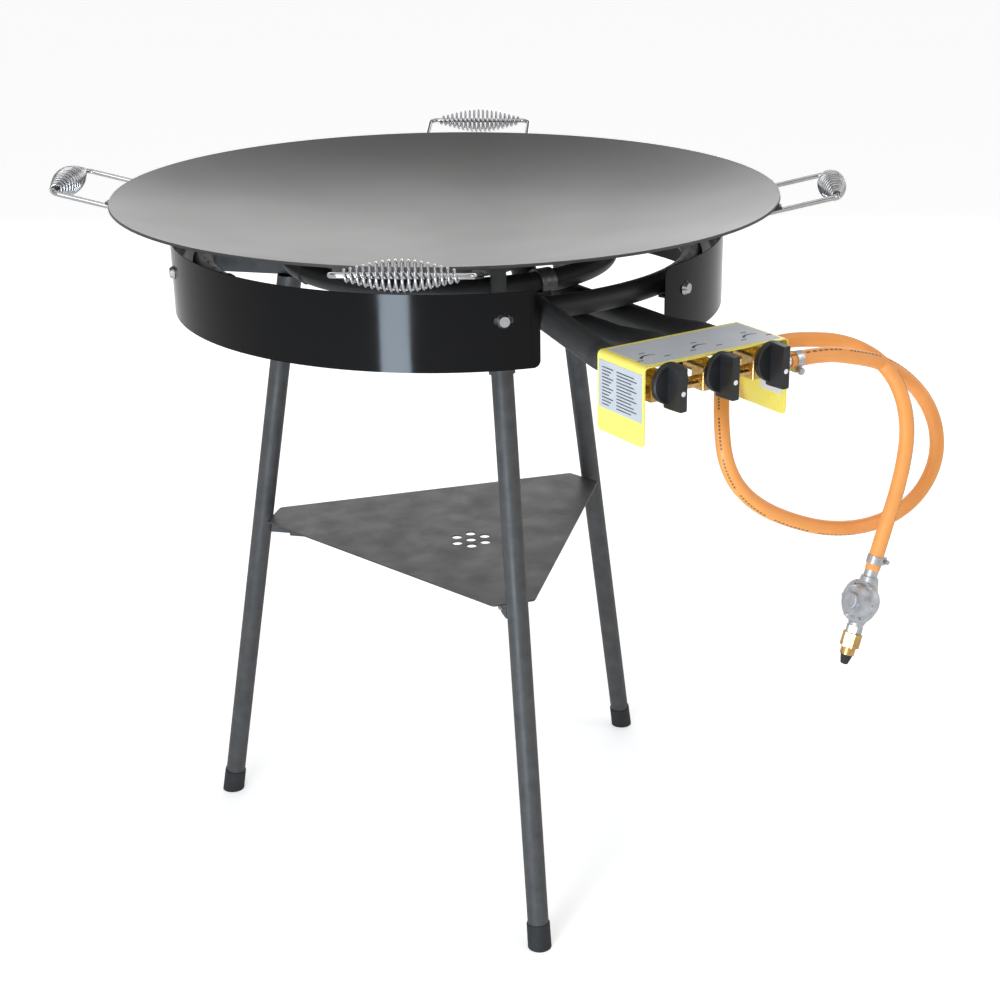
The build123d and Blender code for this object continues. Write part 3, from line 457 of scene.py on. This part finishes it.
# ---------------------------------------------------------------- mesh helpers
def new_object(name, mesh, body, material):
    """A finished piece in place: linked, with its material, riding on its body."""
    piece = bpy.data.objects.new(name, mesh)
    bpy.context.scene.collection.objects.link(piece)
    if not mesh.materials:
        mesh.materials.append(material)
    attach(piece, body)
    return piece


def evaluated_mesh(carrier):
    """The carrier's result as a plain mesh; the carrier is removed."""
    bpy.context.view_layer.update()
    graph = bpy.context.evaluated_depsgraph_get()
    mesh = bpy.data.meshes.new_from_object(carrier.evaluated_get(graph))
    bpy.data.objects.remove(carrier)
    return mesh


def run_tree(tree, name, mesh=None, **values):
    """Runs a Geometry Nodes tree on a mesh and returns the plain mesh."""
    mesh = mesh or bpy.data.meshes.new(name)
    carrier = bpy.data.objects.new(name + " carrier", mesh)
    bpy.context.scene.collection.objects.link(carrier)
    modifier = carrier.modifiers.new("Nodes", "NODES")
    modifier.node_group = tree
    sockets = {s.name: s.identifier for s in tree.interface.items_tree if s.in_out == "INPUT"}
    for key, value in values.items():
        modifier[sockets[key.replace("_", " ")]] = value
    return evaluated_mesh(carrier)


def geometry_tree(name, inputs):
    tree = bpy.data.node_groups.new(name, "GeometryNodeTree")
    tree.interface.new_socket("Geometry", in_out="INPUT", socket_type="NodeSocketGeometry")
    for socket_name, kind, default in inputs:
        socket = tree.interface.new_socket(socket_name, in_out="INPUT", socket_type=kind)
        if default is not None:
            socket.default_value = default
    tree.interface.new_socket("Geometry", in_out="OUTPUT", socket_type="NodeSocketGeometry")
    return tree, tree.nodes.new("NodeGroupInput"), tree.nodes.new("NodeGroupOutput")


def end_tree(tree, geometry, material_socket, leave):
    """Realize Instances, Set Material, output."""
    real = tree.nodes.new("GeometryNodeRealizeInstances")
    paint = tree.nodes.new("GeometryNodeSetMaterial")
    tree.links.new(geometry, real.inputs[0])
    tree.links.new(real.outputs[0], paint.inputs["Geometry"])
    tree.links.new(material_socket, paint.inputs["Material"])
    tree.links.new(paint.outputs[0], leave.inputs[0])


def coil_tree():
    """A wire wound into a barrel along X."""
    tree, enter, leave = geometry_tree(
        "Barrel coil",
        (
            ("Turns", "NodeSocketFloat", 18.0),
            ("Length", "NodeSocketFloat", 0.11),
            ("End radius", "NodeSocketFloat", 0.005),
            ("Belly radius", "NodeSocketFloat", 0.015),
            ("Wire radius", "NodeSocketFloat", 0.0014),
            ("Material", "NodeSocketMaterial", None),
        ),
    )
    line = tree.nodes.new("GeometryNodeCurvePrimitiveLine")
    resample = tree.nodes.new("GeometryNodeResampleCurve")
    resample.inputs["Count"].default_value = 620
    tree.links.new(line.outputs[0], resample.inputs["Curve"])
    share = tree.nodes.new("GeometryNodeSplineParameter").outputs["Factor"]
    turned = math_node(tree, "MULTIPLY", share, enter.outputs["Turns"])
    angle = math_node(tree, "MULTIPLY", turned, 2 * pi)
    swell = math_node(tree, "SINE", math_node(tree, "MULTIPLY", share, pi), 0.0)
    swell = math_node(tree, "POWER", swell, 1.25)
    growth = math_node(tree, "SUBTRACT", enter.outputs["Belly radius"], enter.outputs["End radius"])
    radius = math_node(
        tree, "ADD", enter.outputs["End radius"], math_node(tree, "MULTIPLY", swell, growth)
    )
    join = tree.nodes.new("ShaderNodeCombineXYZ")
    shifted = math_node(tree, "SUBTRACT", share, 0.5)
    tree.links.new(math_node(tree, "MULTIPLY", shifted, enter.outputs["Length"]), join.inputs[0])
    for index, operation in ((1, "COSINE"), (2, "SINE")):
        reach = math_node(tree, operation, angle, 0.0)
        tree.links.new(math_node(tree, "MULTIPLY", reach, radius), join.inputs[index])
    place = tree.nodes.new("GeometryNodeSetPosition")
    tree.links.new(resample.outputs[0], place.inputs["Geometry"])
    tree.links.new(join.outputs[0], place.inputs["Position"])
    ring = tree.nodes.new("GeometryNodeCurvePrimitiveCircle")
    ring.inputs["Resolution"].default_value = 10
    tree.links.new(enter.outputs["Wire radius"], ring.inputs["Radius"])
    tube = tree.nodes.new("GeometryNodeCurveToMesh")
    tube.inputs["Fill Caps"].default_value = True
    tree.links.new(place.outputs[0], tube.inputs["Curve"])
    tree.links.new(ring.outputs[0], tube.inputs["Profile Curve"])
    smooth = tree.nodes.new("GeometryNodeSetShadeSmooth")
    tree.links.new(tube.outputs[0], smooth.inputs["Geometry"])
    end_tree(tree, smooth.outputs[0], enter.outputs["Material"], leave)
    return tree


def bead_tree():
    """Overlapping weld ripples along the mesh edges that it is given."""
    tree, enter, leave = geometry_tree(
        "Weld bead",
        (
            ("Spacing", "NodeSocketFloat", 0.0016),
            ("Size", "NodeSocketFloat", 0.0022),
            ("Material", "NodeSocketMaterial", None),
        ),
    )
    path = tree.nodes.new("GeometryNodeMeshToCurve")
    tree.links.new(enter.outputs["Geometry"], path.inputs["Mesh"])
    points = tree.nodes.new("GeometryNodeCurveToPoints")
    points.mode = "LENGTH"
    tree.links.new(path.outputs[0], points.inputs["Curve"])
    tree.links.new(enter.outputs["Spacing"], points.inputs["Length"])
    drop = tree.nodes.new("GeometryNodeMeshIcoSphere")
    drop.inputs["Subdivisions"].default_value = 2
    tree.links.new(enter.outputs["Size"], drop.inputs["Radius"])
    scatter = tree.nodes.new("GeometryNodeInstanceOnPoints")
    tree.links.new(points.outputs["Points"], scatter.inputs["Points"])
    tree.links.new(drop.outputs["Mesh"], scatter.inputs["Instance"])
    vary = tree.nodes.new("FunctionNodeRandomValue")
    vary.data_type = "FLOAT"
    vary.inputs[2].default_value = 0.8
    vary.inputs[3].default_value = 1.1
    vary.inputs["Seed"].default_value = 5
    tree.links.new(vary.outputs[1], scatter.inputs["Scale"])
    smooth = tree.nodes.new("GeometryNodeSetShadeSmooth")
    tree.links.new(scatter.outputs[0], smooth.inputs["Geometry"])
    end_tree(tree, smooth.outputs[0], enter.outputs["Material"], leave)
    return tree


def path_mesh(name, paths):
    """A mesh of bare edges along lists of points."""
    mesh = bpy.data.meshes.new(name)
    points, edges = [], []
    for path in paths:
        first = len(points)
        points += [tuple(p) for p in path]
        edges += [(first + i, first + i + 1) for i in range(len(path) - 1)]
    mesh.from_pydata(points, edges, [])
    return mesh


def strip_mesh(name, outlines, place, thickness):
    """Thin raised plates from flat outlines, put in place by a matrix."""
    work = bmesh.new()
    for outline in outlines:
        low = [work.verts.new(place @ Vector((x, y, 0))) for x, y in outline]
        high = [work.verts.new(place @ Vector((x, y, thickness))) for x, y in outline]
        work.faces.new(list(reversed(low)))
        work.faces.new(high)
        count = len(outline)
        for i in range(count):
            j = (i + 1) % count
            work.faces.new((low[i], low[j], high[j], high[i]))
    bmesh.ops.recalc_face_normals(work, faces=work.faces)
    mesh = bpy.data.meshes.new(name)
    work.to_mesh(mesh)
    work.free()
    return mesh


def arc_outline(centre, radius, start, end, width, steps=14):
    """Outline of a curved bar, angles in degrees, tapering to its end."""
    sides = ([], [])
    for i in range(steps + 1):
        share = i / steps
        angle = radians(start + (end - start) * share)
        half = width * (1 - 0.75 * share) / 2
        for side, reach in zip(sides, (radius + half, radius - half)):
            side.append((centre[0] + reach * cos(angle), centre[1] + reach * sin(angle)))
    outer, inner = sides
    return outer + list(reversed(inner))


def bar_outline(x, y, width, height):
    return [(x, y), (x + width, y), (x + width, y + height), (x, y + height)]


# ---------------------------------------------------------------- operators
class BURNER_OT_camera(bpy.types.Operator):
    """Places the camera in front, to the left and above."""

    bl_idname = "burner.camera"
    bl_label = "Camera"

    def execute(self, context):
        stage = settings("burner_stage")
        forward = Vector((0.540112, 0.761409, -0.358519)).normalized()
        right = forward.cross(Vector((0, 0, 1))).normalized()
        up = right.cross(forward)
        camera = bpy.data.objects.new("Camera", bpy.data.cameras.new("Camera"))
        context.scene.collection.objects.link(camera)
        turn = Matrix((right, up, -forward)).transposed().to_4x4()
        camera.matrix_world = Matrix.Translation((-1.10493, -1.83891, 1.26916)) @ turn
        camera.data.lens = stage.lens
        camera.data.shift_x = stage.shift
        camera.data.clip_end = 50.0
        context.scene.camera = camera
        return {"FINISHED"}


class BURNER_OT_hose(bpy.types.Operator):
    """Lays the orange hose from the inlet to the regulator."""

    bl_idname = "burner.hose"
    bl_label = "Hose"

    def execute(self, context):
        sizes = settings("burner_hose")
        curve = bpy.data.curves.new("Hose", "CURVE")
        curve.dimensions = "3D"
        spline = curve.splines.new("NURBS")
        spline.points.add(len(HOSE_ROUTE) - 1)
        for point, place in zip(spline.points, HOSE_ROUTE):
            point.co = (*[value * MM for value in place], 1.0)
        spline.order_u = 3
        spline.use_endpoint_u = True
        spline.resolution_u = HOSE_STEPS
        curve.resolution_u = HOSE_STEPS
        curve.bevel_depth = sizes.diameter / 2
        curve.bevel_resolution = HOSE_ROUND
        curve.use_fill_caps = True
        curve.materials.append(hose_material())
        piece = bpy.data.objects.new("gas_hose", curve)
        context.scene.collection.objects.link(piece)
        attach(piece, "stand")
        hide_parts("hose")
        return {"FINISHED"}


class BURNER_OT_pan(bpy.types.Operator):
    """Finishes the pan and its handles."""

    bl_idname = "burner.pan"
    bl_label = "Pan"

    def execute(self, context):
        coat_nodes(pan_material(), "pan", "handle_tabs")
        coat_nodes(finish("polished chrome"), *[f"handle_wire_{n}" for n in HANDLES])
        return {"FINISHED"}


class BURNER_OT_grips(bpy.types.Operator):
    """Winds the coil grips on the handles."""

    bl_idname = "burner.grips"
    bl_label = "Coil grips"

    def execute(self, context):
        sizes = settings("burner_grip")
        tree = coil_tree()
        for number, azimuth in HANDLES.items():
            low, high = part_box(f"handle_grip_{number}")
            along = Vector((-sin(radians(azimuth)), cos(radians(azimuth)), 0))
            up = Vector((0, 0, 1))
            turn = Matrix((along, up.cross(along), up)).transposed().to_4x4()
            mesh = run_tree(
                tree, "Coil grip", Turns=sizes.turns, Length=sizes.length,
                End_radius=(sizes.end_size - sizes.wire) / 2,
                Belly_radius=(sizes.belly_size - sizes.wire) / 2, Wire_radius=sizes.wire / 2,
                Material=finish("polished chrome"),
            )
            mesh.transform(Matrix.Translation((low + high) / 2) @ turn)
            piece = new_object(
                f"coil_grip_{number}", mesh, "pan", finish("polished chrome")
            )
            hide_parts(f"handle_grip_{number}")
        return {"FINISHED"}


class BURNER_OT_frame(bpy.types.Operator):
    """Finishes the burner, bars, legs, feet and shelf."""

    bl_idname = "burner.frame"
    bl_label = "Burner and legs"

    def execute(self, context):
        coat_nodes(
            finish("powder coat"), "outer_ring", "middle_ring", "inner_ring", "feed_tube_outer",
            "feed_tube_middle", "feed_tube_inner", "support_bars", "pan_posts", "leg_sockets",
            "shield_seam_plate", "shield_brackets", "shelf", "shelf_tabs", "panel_crossbar",
            *[f"leg_{name}" for name in LEGS],
        )
        coat_nodes(finish("foot rubber"), *[f"foot_{name}" for name in LEGS])
        coat_nodes(finish("galvanized strap"), "ring_strap")
        coat_nodes(finish("zinc plate"), "leg_lock_screws", "shelf_screws")
        return {"FINISHED"}


class BURNER_OT_welds(bpy.types.Operator):
    """Lays weld beads round the rings' butt joints."""

    bl_idname = "burner.welds"
    bl_label = "Weld beads"

    def execute(self, context):
        tree = bead_tree()
        turns = [2 * pi * i / WELD_STEPS for i in range(WELD_STEPS + 1)]
        paths = []
        for name in ("outer_ring", "middle_ring", "inner_ring"):
            low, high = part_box(name)
            tube = (high.z - low.z) / 2
            middle = (high.z + low.z) / 2
            for side in (-1, 1):
                centre = Vector((side * (high.x - tube), 0, middle))
                paths.append([centre + Vector((tube * cos(t), 0, tube * sin(t))) for t in turns])
        mesh = run_tree(
            tree, "Ring welds", path_mesh("Ring weld paths", paths), Spacing=0.0018, Size=0.0017,
            Material=finish("weld"),
        )
        new_object("ring_welds", mesh, "stand", finish("weld"))
        return {"FINISHED"}


class BURNER_OT_shield(bpy.types.Operator):
    """Finishes the wind shield and its bolts and rivets."""

    bl_idname = "burner.shield"
    bl_label = "Wind shield"

    def execute(self, context):
        coat_nodes(finish("gloss enamel"), "shield_left", "shield_right")
        coat_nodes(finish("zinc plate"), "shield_bolts", "shield_rivets")
        return {"FINISHED"}


class BURNER_OT_controls(bpy.types.Operator):
    """Finishes the panel, labels, valves and knobs."""

    bl_idname = "burner.controls"
    bl_label = "Controls"

    def execute(self, context):
        coat_nodes(finish("panel paint"), "control_panel")
        coat_nodes(finish("label foil"), "top_label", "side_label")
        coat_nodes(finish("machined brass"), "gas_rail", *[f"valve_{n}" for n in KNOBS])
        coat_nodes(finish("copper"), "sealing_washer")
        coat_nodes(finish("zinc plate"), "inlet_fitting", *[f"spindle_{n}" for n in KNOBS])
        coat_nodes(finish("knob plastic"), *[f"knob_{n}" for n in KNOBS])
        return {"FINISHED"}


class BURNER_OT_prints(bpy.types.Operator):
    """Prints plain dial arcs and rules, a blank white label and a dot on each knob."""

    bl_idname = "burner.prints"
    bl_label = "Prints"

    film = 0.00012

    def execute(self, context):
        low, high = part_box("top_label")
        deep = high.y - low.y
        outlines = []
        for number in KNOBS:
            knob_low, knob_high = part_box(f"knob_{number}")
            across = (knob_low.x + knob_high.x) / 2 - low.x
            centre = (across, deep * 0.2)
            outlines.append(arc_outline(centre, deep * 0.2, 150, 50, 0.0032))
            left = centre[0] - 0.0035
            for side in (-1, 1):
                outlines.append(
                    bar_outline(centre[0] + side * 0.0165 - 0.0035, centre[1], 0.007, 0.0016)
                )
            outlines.append(bar_outline(left, centre[1] + deep * 0.31, 0.007, 0.0015))
        place = Matrix.Translation((low.x, low.y, high.z))
        mesh = strip_mesh("Dial arcs", outlines, place, self.film)
        new_object("dial_arcs", mesh, "stand", finish("printed ink"))

        low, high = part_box("side_label")
        wide, tall = high.y - low.y, high.z - low.z
        outlines = []
        for row in range(RULE_ROWS):
            level = tall * (0.08 + 0.84 * row / RULE_ROWS)
            first, second = 0.16 + 0.05 * (row % 3), 0.34 + 0.06 * ((row * 2) % 3)
            for start, share in ((0.08, first), (0.42, second)):
                outlines.append(bar_outline(wide * start, level, wide * share, RULE_THICKNESS))
        face_out = Matrix(((0, 0, -1, low.x), (-1, 0, 0, high.y), (0, 1, 0, low.z), (0, 0, 0, 1)))
        mesh = strip_mesh("Side rules", outlines, face_out, self.film)
        new_object("side_rules", mesh, "stand", finish("printed ink"))
        self.flange_label()
        for number in KNOBS:
            self.knob_dot(number)
        return {"FINISHED"}

    def flange_label(self):
        """A small blank white label inside the right flange."""
        low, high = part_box("control_panel")
        outline = bar_outline(0.006, high.z - low.z - 0.062, 0.034, 0.019)
        inside = Matrix(
            ((0, 0, -1, high.x - PANEL_SHEET), (1, 0, 0, low.y), (0, 1, 0, low.z), (0, 0, 0, 1))
        )
        mesh = strip_mesh("Flange label", [outline], inside, self.film)
        new_object("flange_label", mesh, "stand", finish("white paint"))

    def knob_dot(self, number):
        """A flat painted dot on the front of the knob's bar."""
        low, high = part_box(f"knob_{number}")
        level = low.z + KNOB_DOT_HEIGHT * (high.z - low.z)
        centre = Vector(((low.x + high.x) / 2, low.y, level))
        turns = [2 * pi * i / KNOB_DOT_SIDES for i in range(KNOB_DOT_SIDES)]
        outline = [(KNOB_DOT_RADIUS * cos(t), KNOB_DOT_RADIUS * sin(t)) for t in turns]
        face = Matrix(
            ((1, 0, 0, centre.x), (0, 0, -1, centre.y), (0, 1, 0, centre.z), (0, 0, 0, 1))
        )
        mesh = strip_mesh("Knob dot", [outline], face, self.film)
        new_object(
            f"knob_dot_{number}", mesh, f"knob_{number}", finish("white paint")
        )


class BURNER_OT_regulator(bpy.types.Operator):
    """Finishes the hose clamps, the regulator and its connector."""

    bl_idname = "burner.regulator"
    bl_label = "Regulator"

    def execute(self, context):
        coat_nodes(
            finish("zinc plate"), "hose_clamp_inlet", "hose_clamp_regulator", "regulator_screws"
        )
        coat_nodes(finish("cast alloy"), "regulator_body", "regulator_cover")
        coat_nodes(finish("machined brass"), "cylinder_nut")
        coat_nodes(finish("foot rubber"), "nose_seal")
        return {"FINISHED"}


class BURNER_OT_stage(bpy.types.Operator):
    """Sets up the pale floor and the soft studio light."""

    bl_idname = "burner.stage"
    bl_label = "Studio"

    def execute(self, context):
        stage = settings("burner_stage")
        floor_mesh = bpy.data.meshes.new("Floor")
        corners = ((-1, -1), (1, -1), (1, 1), (-1, 1))
        floor_mesh.from_pydata(
            [(x * FLOOR_HALF, y * FLOOR_HALF, 0) for x, y in corners], [], [(0, 1, 2, 3)]
        )
        floor = bpy.data.objects.new("Floor", floor_mesh)
        context.scene.collection.objects.link(floor)
        floor_mesh.materials.append(self.paper())
        world = bpy.data.worlds.new("Studio")
        world.use_nodes = True
        self.studio_air(world.node_tree, stage.world_light)
        context.scene.world = world
        lamps = (
            ("Key softbox", (-2.6, -1.6, 2.3), (1.5, 1.5), stage.key_light, (0.93, 0.97, 1.0)),
            ("Right softbox", (2.2, -2.0, 2.2), (1.2, 1.8), 12.0, (1, 0.99, 0.97)),
            ("Rear softbox", (1.9, 2.7, 1.6), (3.6, 1.3), 26.0, (1, 1, 1)),
            ("Low strip", (-1.25, -1.0, 0.32), (0.3, 0.6), 12.0, (0.72, 0.86, 1.0)),
        )
        for name, place, size, power, tint in lamps:
            light = bpy.data.lights.new(name, "AREA")
            light.shape = "RECTANGLE"
            light.size, light.size_y = size
            light.energy = power
            light.color = tint
            lamp = bpy.data.objects.new(name, light)
            aim = Vector(AIM) - Vector(place)
            lamp.rotation_euler = aim.to_track_quat("-Z", "Y").to_euler()
            lamp.location = place
            context.scene.collection.objects.link(lamp)
        context.scene.view_settings.view_transform = "Standard"
        return {"FINISHED"}

    def paper(self):
        """White backdrop paper that the camera sees a little brighter than the object does."""
        paper, shader = surface(
            "Studio floor", (0.9, 0.9, 0.9), rough=(0.7, 0.8), second=(0.89, 0.89, 0.89)
        )
        tree = paper.node_tree
        shader.inputs["Emission Color"].default_value = (1, 1, 1, 1)
        seen = tree.nodes.new("ShaderNodeLightPath").outputs["Is Camera Ray"]
        glow = math_node(tree, "MULTIPLY", seen, FLOOR_GLOW)
        tree.links.new(glow, shader.inputs["Emission Strength"])
        return paper

    def studio_air(self, tree, strength):
        """White behind the object; light from above and below, with a dark belt between."""
        even = tree.nodes["Background"]
        even.inputs["Color"].default_value = (1, 1, 1, 1)
        room = tree.nodes.new("ShaderNodeBackground")
        room.inputs["Strength"].default_value = strength
        split = tree.nodes.new("ShaderNodeSeparateXYZ")
        tree.links.new(tree.nodes.new("ShaderNodeTexCoord").outputs["Generated"], split.inputs[0])
        offset = math_node(tree, "SUBTRACT", split.outputs[2], 0.52)
        middle = math_node(tree, "ABSOLUTE", offset, 0.0)
        level = spread(tree, middle, 0.0, 0.45, 0.14, 1.0)
        tree.links.new(mix_colour(tree, level, (0, 0, 0, 1), (1, 1, 1, 1)), room.inputs["Color"])
        chooser = tree.nodes.new("ShaderNodeMixShader")
        seen = tree.nodes.new("ShaderNodeLightPath").outputs["Is Camera Ray"]
        tree.links.new(seen, chooser.inputs[0])
        tree.links.new(room.outputs[0], chooser.inputs[1])
        tree.links.new(even.outputs[0], chooser.inputs[2])
        tree.links.new(chooser.outputs[0], tree.nodes["World Output"].inputs["Surface"])


class BURNER_PT_panel(bpy.types.Panel):
    """Lists the burner's settings and steps."""

    bl_idname = "BURNER_PT_panel"
    bl_label = "Burner stand"
    bl_space_type = "VIEW_3D"
    bl_region_type = "UI"
    bl_category = "Burner"

    def draw(self, context):
        for name, group in SETTINGS.items():
            box = self.layout.box()
            for key in group.__annotations__:
                box.prop(getattr(context.scene, name), key)
        for operator in OPERATORS:
            self.layout.operator(operator.bl_idname)


SETTINGS = {
    "burner_grip": BurnerGripSettings,
    "burner_hose": BurnerHoseSettings,
    "burner_finish": BurnerFinishSettings,
    "burner_stage": BurnerStageSettings,
}
OPERATORS = (
    BURNER_OT_camera,
    BURNER_OT_hose,
    BURNER_OT_pan,
    BURNER_OT_grips,
    BURNER_OT_frame,
    BURNER_OT_welds,
    BURNER_OT_shield,
    BURNER_OT_controls,
    BURNER_OT_prints,
    BURNER_OT_regulator,
    BURNER_OT_stage,
)


def register():
    for item in (*SETTINGS.values(), *OPERATORS, BURNER_PT_panel):
        bpy.utils.register_class(item)
    for name, group in SETTINGS.items():
        setattr(bpy.types.Scene, name, bpy.props.PointerProperty(type=group))


def unregister():
    for name in SETTINGS:
        delattr(bpy.types.Scene, name)
    for item in reversed((*SETTINGS.values(), *OPERATORS, BURNER_PT_panel)):
        bpy.utils.unregister_class(item)


def main():
    register()
    for operator in OPERATORS:
        family, step = operator.bl_idname.split(".")
        getattr(getattr(bpy.ops, family), step)()


if __name__ == "__main__":
    main()
